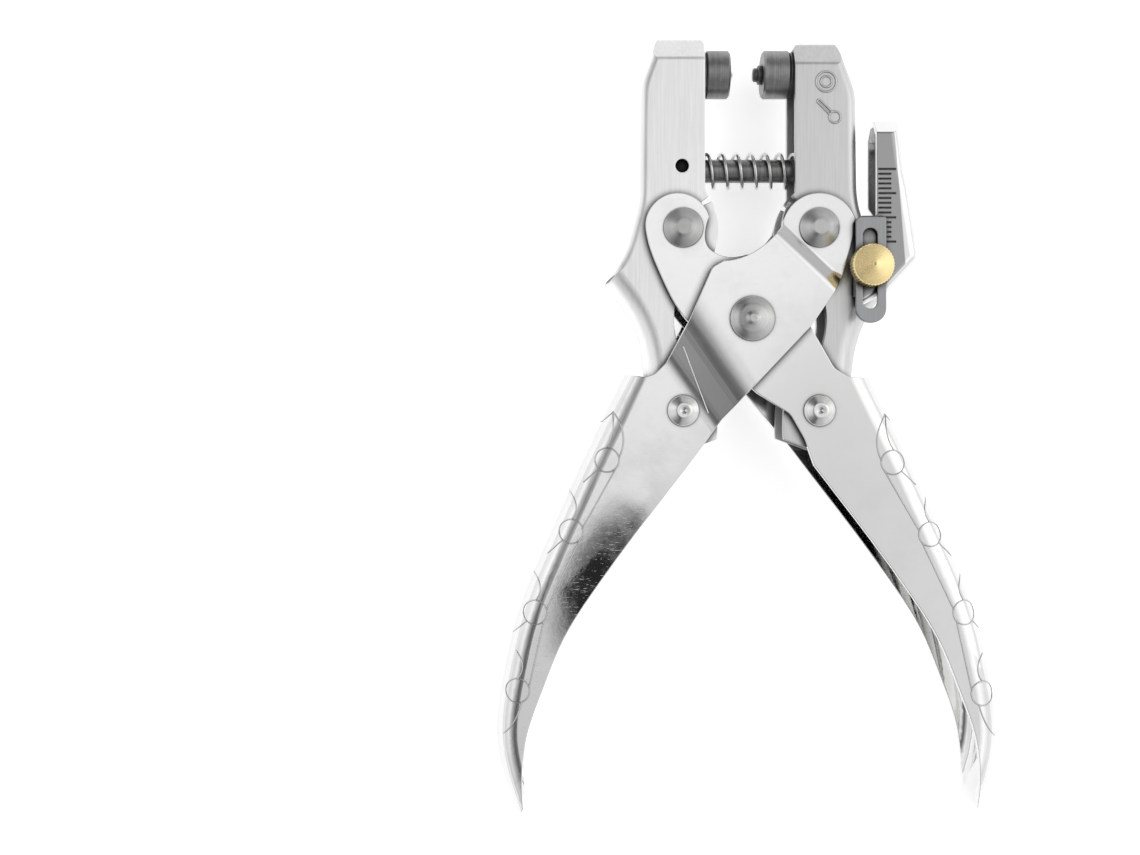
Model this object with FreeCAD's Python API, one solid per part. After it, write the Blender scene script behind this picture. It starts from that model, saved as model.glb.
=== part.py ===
import FreeCAD, Part
import math
import os

# Parallel-action eyelet pliers, lying on their back: +Y towards the jaws, +X to the right, +Z up.
# The main pivot's axis is x = y = 0 and z = 0 is the flat end of its back head.
# Everything is modelled about the tool's own middle plane and lifted to its place at export.

# ---------------------------------------------------------------- linkage
pivot_x = 14.1            # upper jaw pivots and lower slide pins, to each side
pivot_y = 18.95           # the same pivots, above and below the main pivot
die_gap = 7.05            # between the die faces with the tool open
closed_gap = 0.2          # what is left of it with the handles squeezed

# ---------------------------------------------------------------- sheet metal
jaw_width = 12.6          # over both plates of a jaw
jaw_sheet = 1.5
handle_sheet = 1.5
slip = 0.1                # between sheets that slide on each other
jaw_bend = 2.0            # outer radius along a jaw's web
tail_bend = 4.2           # outer radius along the web of a jaw's tail
handle_bend = 4.5         # outer radius along a handle's web

# ---------------------------------------------------------------- jaws
jaw_top = 59.5            # nose of the left jaw above the main pivot
jaw_inner = 9.4           # free edges of the jaw plates, to each side
jaw_outer = 23.2          # web of the left jaw
right_jaw_inset = 1.0     # the right jaw's web stands that much nearer the middle
right_jaw_drop = 1.1      # and its nose that much lower
nose_bevel = 4.9          # length of the bevelled nose
nose_half = 3.2           # half thickness at the very tip
notch_radius = 15.9       # clearance round the main pivot

# ---------------------------------------------------------------- dies
die_drop = 6.9            # die axis below the nose
die_radius = 5.0
die_shank_radius = 3.5
stud_radius = 2.0
shank_gap = 3.6           # the shank stops this far short of the jaw's web
left_face = 3.8           # face of the left die, left of the middle
point_radius = 1.7        # polished point in the left die
point_height = 0.85
pin_radius = 2.0          # setting pin in the right die
pin_step = 0.95           # its shoulder stands this far out of the face
pin_tip_radius = 1.45
pin_tip = 1.0             # its tip stands this far out of the shoulder
pin_collar_radius = 2.6
pin_collar_height = 1.8
pin_seat = 2.8            # depth of the shoulder that keeps it in the die
pin_slip = 0.05           # radial running clearance of the pin in its bore
pin_spring_wire = 0.6
pin_spring_length = 8.2

# ---------------------------------------------------------------- guide rod and return spring
rod_y = 32.1
rod_radius = 2.45
rod_overlap = 4.1         # rod inside the right jaw with the tool open
cross_pin_radius = 1.4
cross_pin_inset = 4.8     # cross pin's axis behind the left jaw's edge
cross_pin_recess = 1.0
spring_radius = 3.925
spring_wire = 0.75
spring_pitch = 3.0

# ---------------------------------------------------------------- rivets
main_shank = 3.0
main_head = 4.6
main_head_height = 2.1
back_head_height = 1.5
lug_shank = 2.5
lug_head = 4.1
lug_head_height = 1.9
slide_shank = 2.0
slide_head = 3.25
slide_head_height = 1.6
rivet_slip = 0.05         # radial running clearance of every pivot
sleeve_wall = 1.5

# ---------------------------------------------------------------- handles
handle_length = 102.6     # main pivot to the ends of the grips
handle_spread = 53.0      # widest point of each grip, to each side
inner_grip_inset = 1.1    # the inner handle's grip is that much slimmer
lug_radius = 7.2
ramp_top = 15.7           # cranked part of the outer handle, above the main pivot
ramp_top_run = 2.9
ramp_low = 12.6           # and below it
ramp_low_run = 4.4
plate_bearing = 215.0     # the flat plates run down this way from the main pivot
plate_limit = 18.4        # and end this far from it, where the folded channel begins
head_clearance = 0.02     # round a rivet's shank in the sheets it is riveted to

# ---------------------------------------------------------------- gauge
bracket_width = 6.2
bracket_top = 20.9
bracket_bottom = -0.9
bracket_sheet = 1.0
leg_low = 4.6             # the bracket's leg, along the jaw
leg_high = 12.0
tenon_length = 2.4
tenon_lows = (5.2, 8.9)   # lower ends of its two tenons
tenon_ease = 0.03
bracket_rise = 2.55       # jaw face to the underside of the slotted plate
slot_top = 18.6
slot_bottom = 2.0
screw_radius = 1.25
slot_half = 1.55          # half width of the slot
screw_y = 10.7
knob_radius = 4.3
knob_height = 4.4
knurl_count = 40
knurl_radius = 0.22
scale_sheet = 1.2
scale_depth = 9.4
scale_setback = 4.5       # the scale's left edge beyond the bracket's
scale_top = 41.6
tick_pitch = 1.0
tick_count = 16
tick_depth = 0.12
tick_width = 0.35
tick_start = 15.75
tick_long = 3.7           # every fifth line
tick_short = 2.7
nut_width = 4.2
nut_length = 4.6
nut_height = 1.0

# ---------------------------------------------------------------- worked out from the above
jaw_half = jaw_width / 2
jaw_inside = jaw_half - jaw_sheet
handle_inside = jaw_half + slip
handle_half = handle_inside + handle_sheet
cross_inside = handle_half + slip
cross_half = cross_inside + handle_sheet
mid_height = cross_half + back_head_height
linkage_radius = math.hypot(pivot_x, pivot_y)
jaw_travel = (die_gap - closed_gap) / 2
closed_bearing = math.acos((pivot_x - jaw_travel) / linkage_radius)
closing_angle = closed_bearing - math.acos(pivot_x / linkage_radius)
jaw_rise = linkage_radius * math.sin(closed_bearing) - pivot_y
slot_travel = 2 * jaw_rise
right_face = die_gap - left_face
right_outer = jaw_outer - right_jaw_inset
right_top = jaw_top - right_jaw_drop
die_y = jaw_top - die_drop
bracket_left = pivot_x + lug_radius
bracket_right = bracket_left + bracket_width
scale_left = bracket_left + scale_setback
plate_top = jaw_half + bracket_rise + bracket_sheet
scale_face = jaw_half + bracket_rise - 0.05
pin_travel = pin_step + pin_tip + point_height - closed_gap + 0.3
screw_x = bracket_left + 1.35 + slot_half

far = 200.0
tall = 30.0
X = FreeCAD.Vector(1, 0, 0)
Y = FreeCAD.Vector(0, 1, 0)
Z = FreeCAD.Vector(0, 0, 1)
ORIGIN = FreeCAD.Vector(0, 0, 0)
nodes = {}


def at(x, y, z=0.0):
    return FreeCAD.Vector(x, y, z)


def rounded(points, closed=True):
    """Edges through corners (x, y) or (x, y, radius), each radius limited to its two sides."""
    corners = [at(p[0], p[1]) for p in points]
    radii = [p[2] if len(p) > 2 else 0.0 for p in points]
    count = len(corners)
    starts, ends, mids = [], [], []
    for i, corner in enumerate(corners):
        if radii[i] <= 0 or (not closed and i in (0, count - 1)):
            starts.append(corner)
            ends.append(corner)
            mids.append(None)
            continue
        back = corners[i - 1] - corner
        on = corners[(i + 1) % count] - corner
        half = back.getAngle(on) / 2
        reach = min(radii[i] / math.tan(half), 0.48 * min(back.Length, on.Length))
        radius = reach * math.tan(half)
        back.normalize()
        on.normalize()
        starts.append(corner + back * reach)
        ends.append(corner + on * reach)
        middle = back + on
        middle.normalize()
        mids.append(corner + middle * (radius / math.sin(half) - radius))
    edges = []
    for i in range(count):
        if mids[i] is not None:
            edges.append(Part.Arc(starts[i], mids[i], ends[i]).toShape())
        if i < count - 1 or closed:
            following = starts[(i + 1) % count]
            if (following - ends[i]).Length > 1e-6:
                edges.append(Part.makeLine(ends[i], following))
    return edges


def smooth(points):
    """One smooth curve through the points."""
    curve = Part.BSplineCurve()
    curve.interpolate([at(*p) for p in points])
    return curve.toShape()


def joined(*pieces):
    """A closed face from runs of edges or points, with straight lines across the gaps."""
    edges = []
    last = first = None
    for piece in pieces:
        if isinstance(piece[0], tuple):
            run = rounded(piece, closed=False)
            head, tail = at(*piece[0][:2]), at(*piece[-1][:2])
        else:
            run = piece
            head, tail = run[0].firstVertex(True).Point, run[-1].lastVertex(True).Point
        if last is None:
            first = head
        elif (head - last).Length > 1e-6:
            edges.append(Part.makeLine(last, head))
        edges.extend(run)
        last = tail
    if (first - last).Length > 1e-6:
        edges.append(Part.makeLine(last, first))
    return Part.Face(Part.Wire(edges))


def face_of(edges):
    return Part.Face(Part.Wire(edges))


def prism(face, low, high):
    lower = face.copy()
    lower.translate(at(0, 0, low))
    return lower.extrude(at(0, 0, high - low))


def side_profile(points, width=far):
    """A prism along X from corners (y, z) or (y, z, radius)."""
    solid = prism(face_of(rounded(points)), -width, width)
    turn = FreeCAD.Rotation(Y, Z, X, "XYZ")
    solid.Placement = FreeCAD.Placement(ORIGIN, turn)
    return solid


def turned(points, base=ORIGIN, axis=Z):
    """A solid of revolution from corners (radius, height) or (radius, height, rounding)."""
    face = face_of(rounded(points))
    face.rotate(ORIGIN, X, 90)
    solid = face.revolve(ORIGIN, Z, 360)
    solid.Placement = FreeCAD.Placement(base, FreeCAD.Rotation(Z, axis)) * solid.Placement
    return solid


def rod(radius, x, y, low, high):
    return Part.makeCylinder(radius, high - low, at(x, y, low))


def rod_x(radius, y, low, high):
    return Part.makeCylinder(radius, high - low, at(low, y, 0), X)


def mirrored(shape):
    return shape.mirror(ORIGIN, X)


def turned_over(shape):
    return shape.mirror(ORIGIN, Z)


def fused(*shapes):
    return shapes[0].multiFuse(list(shapes[1:])).removeSplitter()


def half_space(bearing, distance):
    """Everything further than distance from the main pivot, measured along a bearing in degrees."""
    block = Part.makeBox(far, 2 * far, 2 * tall, at(distance, -far, -tall))
    block.rotate(ORIGIN, Z, bearing)
    return block


def bent_channel(path, half, sheet, bend, reach, side):
    """A C-shaped sheet along a flat path: its web on the path, its flanges to one side of it."""
    wire = Part.Wire(path)
    start = path[0].firstVertex(True).Point
    heading = path[0].tangentAt(path[0].FirstParameter)
    if path[0].Orientation == "Reversed":
        heading = -heading
    inward = Z.cross(heading) * side
    inner = bend - sheet
    section = [
        (reach, half), (0, half, bend), (0, -half, bend), (reach, -half),
        (reach, -half + sheet), (sheet, -half + sheet, inner), (sheet, half - sheet, inner),
        (reach, half - sheet)]
    profile = Part.Wire(rounded(section))
    turn = FreeCAD.Rotation(inward, Z, inward.cross(Z), "XYZ")
    profile.Placement = FreeCAD.Placement(start, turn)
    pipe = Part.BRepOffsetAPI.MakePipeShell(wire)
    pipe.setBiNormalMode(Z)
    pipe.add(profile, False, False)
    pipe.build()
    pipe.makeSolid()
    return pipe.shape()


def offset_corners(points, distance):
    """Corners (x, y, radius) of an open run moved to its right by a distance, radii adjusted."""
    corners = [at(p[0], p[1]) for p in points]
    headings = [(b - a).normalize() for a, b in zip(corners, corners[1:])]
    rights = [at(h.y, -h.x) * distance for h in headings]
    moved = [(corners[0].x + rights[0].x, corners[0].y + rights[0].y)]
    for i in range(1, len(corners) - 1):
        before, after = headings[i - 1], headings[i]
        turn = before.x * after.y - before.y * after.x
        start = corners[i] + rights[i - 1]
        gap = corners[i] + rights[i] - start
        along = (gap.x * after.y - gap.y * after.x) / turn if abs(turn) > 1e-9 else 0.0
        corner = start + before * along
        radius = points[i][2] if len(points[i]) > 2 else 0.0
        radius = max(radius + math.copysign(distance, turn), 0.0)
        moved.append((corner.x, corner.y, radius))
    moved.append((corners[-1].x + rights[-1].x, corners[-1].y + rights[-1].y))
    return moved


def stretched(points, extra):
    """An open run whose first and last sides are longer by extra."""
    first, second = at(*points[0][:2]), at(*points[1][:2])
    last, before = at(*points[-1][:2]), at(*points[-2][:2])
    head = first + (first - second).normalize() * extra
    tail = last + (last - before).normalize() * extra
    return [(head.x, head.y)] + points[1:-1] + [(tail.x, tail.y)]


def web_envelope(contour, back, half, bend):
    """A block whose long edges along the contour are rounded as a folded sheet's are."""
    block = prism(face_of(rounded(contour + back)), -half, half)
    line = Part.Wire(rounded(contour, closed=False))
    bent = []
    for edge in block.Edges:
        middle = edge.valueAt((edge.FirstParameter + edge.LastParameter) / 2)
        level = abs(abs(middle.z) - half) < 1e-6
        if level and line.distToShape(Part.Vertex(middle.x, middle.y, 0))[0] < 1e-5:
            bent.append(edge)
    return block.makeFillet(bend, bent) if bend > 0.05 else block


def folded_sheet(contour, back, half, sheet, bend):
    """A sheet folded to a channel: its web along the contour, open on the contour's right."""
    outside = web_envelope(contour, back, half, bend)
    inner = stretched(offset_corners(contour, sheet), 5.0)
    inside = web_envelope(inner, back_shifted(inner, back), half - sheet, bend - sheet)
    return outside.cut(inside)


def back_shifted(inner, back):
    """The closing corners of a cavity: beyond the sheet's own on the open side."""
    ends = [at(*inner[-1][:2]), at(*inner[0][:2])]
    centre = (ends[0] + ends[1]) * 0.5
    result = []
    for x, y in back:
        corner = at(x, y)
        away = corner + (corner - centre).normalize() * 8.0
        result.append((away.x, away.y))
    return result


def coil(radius, wire, pitch, start, end, height):
    """A helical spring along X from start to end, its outside radius given, its ends ground flat."""
    mean = radius - wire / 2
    grinding = 0.4 * wire
    length = end - start
    helix = Part.makeHelix(pitch, length + 2 * grinding, mean)
    section = Part.Wire(Part.makeCircle(wire / 2, at(mean, 0, 0), Y))
    solid = Part.Wire(helix).makePipeShell([section], True, True)
    slab = Part.makeBox(4 * radius, 4 * radius, length, at(-2 * radius, -2 * radius, grinding))
    ground = solid.common(slab)
    ground.translate(at(0, 0, -grinding))
    ground.rotate(ORIGIN, Y, 90)
    ground.translate(at(start, height, 0))
    return ground


def add(name, shape):
    lifted = shape.copy()
    lifted.translate(at(0, 0, mid_height))
    nodes[name] = lifted


# ================================================================ jaws
def jaw_plan(top):
    """Outline of a right-hand jaw, its web side drawn well outside the bent sheet."""
    tail_end = pivot_y + slot_travel + slide_shank + 2.2
    lobe = smooth([(jaw_inner, 26.8), (jaw_inner - 2.2, 22.5), (jaw_inner - 2.8, 19.6), (jaw_inner - 2.6, 16.9)])
    angle_in = math.radians(62)
    angle_out = math.radians(-62)
    notch = Part.Arc(
        at(notch_radius * math.cos(angle_in), notch_radius * math.sin(angle_in)),
        at(notch_radius, 0),
        at(notch_radius * math.cos(angle_out), notch_radius * math.sin(angle_out))).toShape()
    inner_tail = smooth([
        (notch_radius * math.cos(angle_out), notch_radius * math.sin(angle_out)),
        (pivot_x - 7.2, -pivot_y - 1.0), (pivot_x - 7.2, -pivot_y - 5.6)])
    end = rounded([
        (pivot_x - 7.2, -pivot_y - 5.6), (pivot_x - 6.2, -tail_end, 3.0), (pivot_x + 3.6, -tail_end, 4.0),
        (pivot_x + 20, -tail_end + 7)], closed=False)
    outside = rounded([
        (pivot_x + 20, -tail_end + 7), (jaw_outer + 16, 10), (jaw_outer + 16, top),
        (jaw_inner, top, 1.5), (jaw_inner, 26.8)], closed=False)
    return joined(outside, [lobe], [notch], [inner_tail], end)


def jaw_web_corners(outer, top):
    """Web line of a right-hand jaw from the nose down past the flare."""
    return [
        (outer - 5.2, top + 3.0), (outer - 2.4, top - 4.1, 8.0), (outer, top - 10.7, 12.0),
        (outer + 0.3, 24.5, 22.0), (jaw_outer + 3.0, 14.5, 18.0), (jaw_outer + 8.6, 4.9)]


def jaw_back(top):
    """Closing corners on the open side of a right-hand jaw."""
    return [(-2.0, 0.0), (-2.0, top + 3.0)]


def jaw_tail_path():
    return [smooth([
        (jaw_outer + 9.8, 12.5), (jaw_outer + 6.9, 7.8), (jaw_outer + 2.4, 1.5), (jaw_outer - 0.6, -6.4),
        (jaw_outer - 1.6, -14.0), (jaw_outer - 3.0, -22.0), (jaw_outer - 5.0, -29.0)])]


def make_jaw(outer, top):
    """A right-hand jaw: upper channel with its bevelled nose, tail channel, pivot hole and slot."""
    plan = prism(jaw_plan(top), -tall, tall)
    upper = folded_sheet(jaw_web_corners(outer, top), jaw_back(top), jaw_half, jaw_sheet, jaw_bend)
    tail = bent_channel(jaw_tail_path(), jaw_half, jaw_sheet, tail_bend, 34.0, -1)
    step = math.degrees(math.atan2(-3.2, -2.7))
    step_reach = 30.1 * math.cos(math.radians(step)) + 7.8 * math.sin(math.radians(step))
    below = half_space(step, step_reach)
    bevel_top = top - nose_bevel
    back = -far
    nose = side_profile([
        (back, jaw_half), (bevel_top, jaw_half, 1.5), (top, nose_half, 1.2), (top, -nose_half, 1.2),
        (bevel_top, -jaw_half, 1.5), (back, -jaw_half)])
    hollow = side_profile([
        (back, jaw_inside), (bevel_top - 0.6, jaw_inside), (top - jaw_sheet, nose_half - 1.0),
        (top - jaw_sheet, -nose_half + 1.0), (bevel_top - 0.6, -jaw_inside), (back, -jaw_inside)])
    nose_zone = Part.makeBox(far, far, 2 * tall, at(0, bevel_top - 3.0, -tall))
    envelope = web_envelope(jaw_web_corners(outer, top), jaw_back(top), jaw_half, jaw_bend)
    cap = envelope.common(nose).common(nose_zone).cut(hollow)
    sheet = upper.common(plan).common(nose).cut(below)
    lower = tail.common(plan).common(below)
    jaw = fused(sheet, cap.common(plan), lower)
    jaw = jaw.cut(rod(lug_shank + rivet_slip, pivot_x, pivot_y, -tall, tall))
    slot_low = -pivot_y - slot_travel - 0.15
    slot_high = -pivot_y + 0.15
    groove = slide_shank + 2 * rivet_slip
    slot = Part.makeBox(2 * groove, slot_high - slot_low, 2 * tall, at(pivot_x - groove, slot_low, -tall))
    for end in (slot_low, slot_high):
        slot = slot.fuse(rod(groove, pivot_x, end, -tall, tall))
    jaw = jaw.cut(slot)
    return jaw.cut(rod_x(stud_radius + rivet_slip, die_y, outer - 6, outer + 6))


# ================================================================ handles
def grip_outer(inset):
    """Outer line of a right-hand grip, from the web's top corner to the end of the handle."""
    shares = [(0.2686, 0.640), (0.4508, 0.800), (0.5942, 0.913), (0.7255, 0.974), (0.8334, 1.0), (0.926, 0.974)]
    middle = [(handle_spread * out - inset, -handle_length * down) for down, out in shares]
    end = [(handle_spread - inset - 3.3, -handle_length + 1.4), (handle_spread - inset - 4.9, -handle_length - 5.0)]
    return [(20.9 - inset, -0.9), (26.0 - inset, -11.3)] + middle + end


def grip_inner():
    shares = [(0.2595, 0.194), (0.4375, 0.457), (0.5515, 0.617), (0.649, 0.735), (0.753, 0.818),
              (0.8425, 0.877), (0.921, 0.896)]
    return [(handle_spread * out, -handle_length * down) for down, out in shares]


def grip_end():
    """Outline of the lower handle: inner line down, round the tip, and up outside the web."""
    inner = grip_inner()
    tip_x = handle_spread * 0.893
    inner_run = smooth(inner + [(tip_x, -handle_length + 1.0)])
    tip = rounded([
        (tip_x, -handle_length + 1.0), (tip_x + 0.2, -handle_length, 0.6), (tip_x + 2.4, -handle_length, 0.8),
        (handle_spread + 6, -handle_length + 9), (handle_spread + 6, -60), (32.0, -8.0)], closed=False)
    return [inner_run] + tip


def inner_plan():
    """Outline of the inner handle: left-hand lug, hub under the crossing, right-hand grip."""
    lug = Part.Arc(
        at(-pivot_x - 7.8, pivot_y), at(-pivot_x - 0.7, pivot_y + lug_radius),
        at(-pivot_x + 5.3, pivot_y + 2.3)).toShape()
    neck = smooth([
        (-pivot_x + 5.3, pivot_y + 2.3), (-pivot_x + 4.5, pivot_y - 0.8), (-pivot_x + 4.8, pivot_y - 3.5),
        (-pivot_x + 7.4, pivot_y - 5.6), (-pivot_x + 10.0, pivot_y - 6.1), (-1.1, 13.35)])
    hub = Part.Arc(at(-1.1, 13.35), at(9.4, 9.5), at(12.3, -1.6)).toShape()
    shoulder = rounded([
        (12.3, -1.6), (17.2, -10.2, 4.0), (20.4, -12.1, 3.0), (26.0, -11.9), (32.0, -8.0)], closed=False)
    grip = grip_end()
    inner = grip_inner()[0]
    hip = rounded([(-13.0, -0.6), (0.1, -14.6, 2.0), inner], closed=False)
    flank = smooth([
        (-pivot_x - 7.8, pivot_y), (-20.9, 14.4), (-18.8, 9.2), (-16.3, 4.0), (-13.0, -0.6)])
    run = hip + grip + backwards(shoulder) + backwards([hub]) + backwards([neck]) + backwards([lug]) + [flank]
    return Part.Face(Part.Wire(run))


def backwards(edges):
    """The same run of edges, walked from its far end."""
    turned_round = []
    for edge in reversed(edges):
        curve = edge.Curve.copy()
        low, high = edge.FirstParameter, edge.LastParameter
        if isinstance(curve, (Part.Line, Part.LineSegment)):
            turned_round.append(Part.makeLine(edge.lastVertex(True).Point, edge.firstVertex(True).Point))
            continue
        curve = curve.toBSpline(low, high)
        curve.reverse()
        turned_round.append(curve.toShape())
    return turned_round


def outer_plan():
    """Outline of the outer handle: right-hand lug, cranked crossing, left-hand grip (drawn mirrored)."""
    lug = Part.Arc(
        at(-pivot_x + 7.6, pivot_y + 0.5), at(-pivot_x, pivot_y + lug_radius),
        at(-pivot_x - 7.6, pivot_y + 0.5)).toShape()
    upper_edge = smooth([
        (-pivot_x + 7.6, pivot_y + 0.5), (-1.4, 14.4), (1.1, 13.0), (5.9, 11.9)])
    flank = rounded([
        (5.9, 11.9), (8.2, 10.6, 1.6), (13.0, -0.3, 3.0), (17.6, -9.0, 5.0), (20.9, -12.2, 4.0), (26.3, -11.3),
        (32.0, -8.0)], closed=False)
    grip = grip_end()
    inner = grip_inner()[0]
    right_side = rounded([
        inner, (6.0, -20.7, 4.0), (-12.4, -1.2, 6.0), (-18.7, 8.2, 8.0),
        (-pivot_x - 7.6, pivot_y + 0.5)], closed=False)
    run = [lug] + backwards(right_side) + grip + backwards(flank) + backwards([upper_edge])
    ordered = backwards(run)
    return Part.Face(Part.Wire(Part.__sortEdges__(ordered)))


def grip_channel(inset):
    return bent_channel([smooth(grip_outer(inset))], handle_half, handle_sheet, handle_bend, 27.0, -1)


def cranked_sheet(bearing, start, run):
    """A sheet that lies one layer further out near the main pivot and steps down along a bearing."""
    drop = cross_inside - handle_inside
    lean = handle_sheet * math.tan(math.atan2(drop, run) / 2)
    section = [
        (-far, cross_inside), (start, cross_inside, 2.0), (start + run, handle_inside, 3.0), (far, handle_inside),
        (far, handle_half), (start + run + lean, handle_half, 2.0), (start + lean, cross_half, 3.0),
        (-far, cross_half)]
    slab = prism(face_of(rounded(section)), -far, far)
    slab.Placement = FreeCAD.Placement(ORIGIN, FreeCAD.Rotation(X, Z, -Y, "XYZ"))
    slab.rotate(ORIGIN, Z, bearing)
    return slab


def make_outer_handle():
    """The handle whose sheets cross outside: built with its grip on the left."""
    plan = mirrored(prism(outer_plan(), -tall, tall))
    beyond = half_space(plate_bearing, plate_limit)
    upper_half = half_space(50.0, 0.0)
    high = cranked_sheet(46.4, ramp_top, ramp_top_run).common(upper_half)
    low = cranked_sheet(plate_bearing, ramp_low, ramp_low_run).cut(upper_half).cut(beyond)
    plate = high.fuse(low).common(plan)
    channel = mirrored(grip_channel(0.0)).common(plan).common(beyond)
    handle = fused(channel, plate, turned_over(plate))
    handle = handle.cut(rod(main_shank + rivet_slip, 0, 0, -tall, tall))
    handle = handle.cut(rod(lug_shank + head_clearance, pivot_x, pivot_y, -tall, tall))
    return handle.cut(rod(slide_shank + head_clearance, -pivot_x, -pivot_y, -tall, tall))


def make_inner_handle():
    """The handle whose sheets cross inside: flat plates, grip on the right."""
    plan = prism(inner_plan(), -tall, tall)
    beyond = mirrored(half_space(plate_bearing, plate_limit))
    sheet = prism(face_of(rounded([(-far, -far), (far, -far), (far, far), (-far, far)])), handle_inside, handle_half)
    plate = sheet.common(plan).cut(beyond)
    channel = grip_channel(inner_grip_inset).common(plan).common(beyond)
    handle = fused(channel, plate, turned_over(plate))
    scallop_x, scallop_y = handle_spread * 0.194, -handle_length * 0.2595
    scallop = prism(face_of(rounded([
        (-4.0, -10.6), (1.3, -15.4, 3.0), (pivot_x - 6.0, -pivot_y - 0.7, 4.0), (pivot_x - 3.0, -pivot_y - 6.0, 6.0),
        (scallop_x + 3.8, scallop_y - 6.6), (scallop_x - 4, scallop_y - 3)])), 0, tall)
    handle = handle.cut(scallop)
    handle = handle.cut(rod(main_shank + rivet_slip, 0, 0, -tall, tall))
    handle = handle.cut(rod(lug_shank + head_clearance, -pivot_x, pivot_y, -tall, tall))
    return handle.cut(rod(slide_shank + head_clearance, pivot_x, -pivot_y, -tall, tall))


# ================================================================ rivets, pins and sleeves
def main_rivet():
    front = cross_half + main_head_height
    back = -mid_height
    return turned([
        (0, back), (3.0, back), (main_head - 0.4, back + 0.9, 0.5), (main_head - 0.4, -cross_half),
        (main_shank, -cross_half), (main_shank, cross_half), (main_head, cross_half),
        (main_head, cross_half + 0.5, 0.4), (3.0, front - 0.7, 2.0), (1.5, front - 0.35, 0.5), (0.8, front, 0.4),
        (0, front)])


def lug_rivet(x):
    top = handle_half + lug_head_height
    side = [(lug_shank, handle_half), (lug_head, handle_half), (lug_head, handle_half + 0.35, 0.2),
            (1.75, top - 0.15, 0.3), (1.55, top, 0.1), (0, top)]
    back = [(radius, -height, *rest) for radius, height, *rest in reversed(side)]
    return turned(back + side, at(x, pivot_y))


def slide_rivet(x):
    top = handle_half + slide_head_height
    front = [(slide_shank, handle_half), (slide_head, handle_half), (slide_head, handle_half + 0.5, 0.4),
             (1.5, top, 0.8), (0.7, top - 0.1, 0.2), (0, top - 0.5)]
    back = [(0, -top + 0.2), (1.6, -top + 0.2, 0.8), (slide_head - 0.1, -handle_half - 0.5, 0.4),
            (slide_head - 0.1, -handle_half), (slide_shank, -handle_half)]
    return turned(back + front, at(x, -pivot_y))


def sleeve(bore, wall, half_length, x, y):
    tube = rod(bore + wall, x, y, -half_length, half_length)
    return tube.cut(rod(bore, x, y, -tall, tall))


# ================================================================ dies
def make_left_die(jaw_skin):
    """Die with the polished point: collar on the jaw's edges, shank inside, stud through the web."""
    shank_end = jaw_outer - jaw_sheet - shank_gap
    body = turned([
        (0, 0), (die_radius - 0.4, 0), (die_radius, 0.4), (die_radius, jaw_inner - left_face - 0.9),
        (die_radius - 0.35, jaw_inner - left_face - 0.5), (die_radius - 0.35, jaw_inner - left_face - 0.05),
        (die_shank_radius, jaw_inner - left_face - 0.05), (die_shank_radius, shank_end - left_face),
        (0, shank_end - left_face)], at(left_face, die_y), X)
    stud = rod_x(stud_radius, die_y, shank_end - 0.5, far / 4).common(jaw_skin)
    die = fused(body, stud)
    socket = rod_x(point_radius - 0.2, die_y, left_face - 1, left_face + 4.0)
    return mirrored(die.cut(socket))


def make_left_point():
    stem = 4.0
    return mirrored(turned([
        (0, -point_height), (0.5, -point_height, 0.3), (point_radius, -0.2, 0.7), (point_radius, 0),
        (point_radius - 0.2, 0), (point_radius - 0.2, stem), (0, stem)], at(left_face, die_y), X))


def make_right_die(jaw_skin):
    """Die with a bore for the sprung setting pin."""
    shank_end = right_outer - jaw_sheet - shank_gap
    bore_end = pin_seat + pin_collar_height + 0.1 + pin_spring_length
    body = turned([
        (pin_radius + pin_slip, 0), (die_radius - 0.4, 0), (die_radius, 0.4),
        (die_radius, jaw_inner - right_face - 0.9), (die_radius - 0.35, jaw_inner - right_face - 0.5),
        (die_radius - 0.35, jaw_inner - right_face - 0.05), (die_shank_radius, jaw_inner - right_face - 0.05),
        (die_shank_radius, shank_end - right_face), (0, shank_end - right_face),
        (0, bore_end), (pin_collar_radius + pin_slip, bore_end), (pin_collar_radius + pin_slip, pin_seat),
        (pin_radius + pin_slip, pin_seat)], at(right_face, die_y), X)
    stud = rod_x(stud_radius, die_y, shank_end - 0.5, far / 4).common(jaw_skin)
    return fused(body, stud)


def make_setting_pin():
    seat = pin_seat + 0.02
    return turned([
        (0, -pin_step - pin_tip), (pin_tip_radius, -pin_step - pin_tip, 0.6), (pin_tip_radius, -pin_step),
        (pin_radius, -pin_step, 0.3), (pin_radius, seat), (pin_collar_radius, seat),
        (pin_collar_radius, seat + pin_collar_height), (0, seat + pin_collar_height)], at(right_face, die_y), X)


# ================================================================ gauge
def make_bracket():
    """Slotted plate on a leg whose tenons go through the right jaw's front plate."""
    under = jaw_half + bracket_rise
    plate = prism(face_of(rounded([
        (bracket_left, bracket_top, 1.2), (bracket_left, bracket_bottom, 3.2), (bracket_right, bracket_bottom, 3.2),
        (bracket_right, bracket_top, 0.4)])), under, plate_top)
    slot = face_of(rounded([
        (screw_x - slot_half, slot_bottom, slot_half - 0.01), (screw_x + slot_half, slot_bottom, slot_half - 0.01),
        (screw_x + slot_half, slot_top, slot_half - 0.01), (screw_x - slot_half, slot_top, slot_half - 0.01)]))
    leg = Part.makeBox(bracket_sheet, leg_high - leg_low, bracket_rise + 0.4, at(bracket_left, leg_low, jaw_half))
    bracket = plate.cut(prism(slot, 0, tall)).fuse(leg)
    for low in tenon_lows:
        corner = at(bracket_left, low, jaw_half - jaw_sheet)
        bracket = bracket.fuse(Part.makeBox(bracket_sheet, tenon_length, 2 * jaw_sheet, corner))
    return bracket.removeSplitter()


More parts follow.
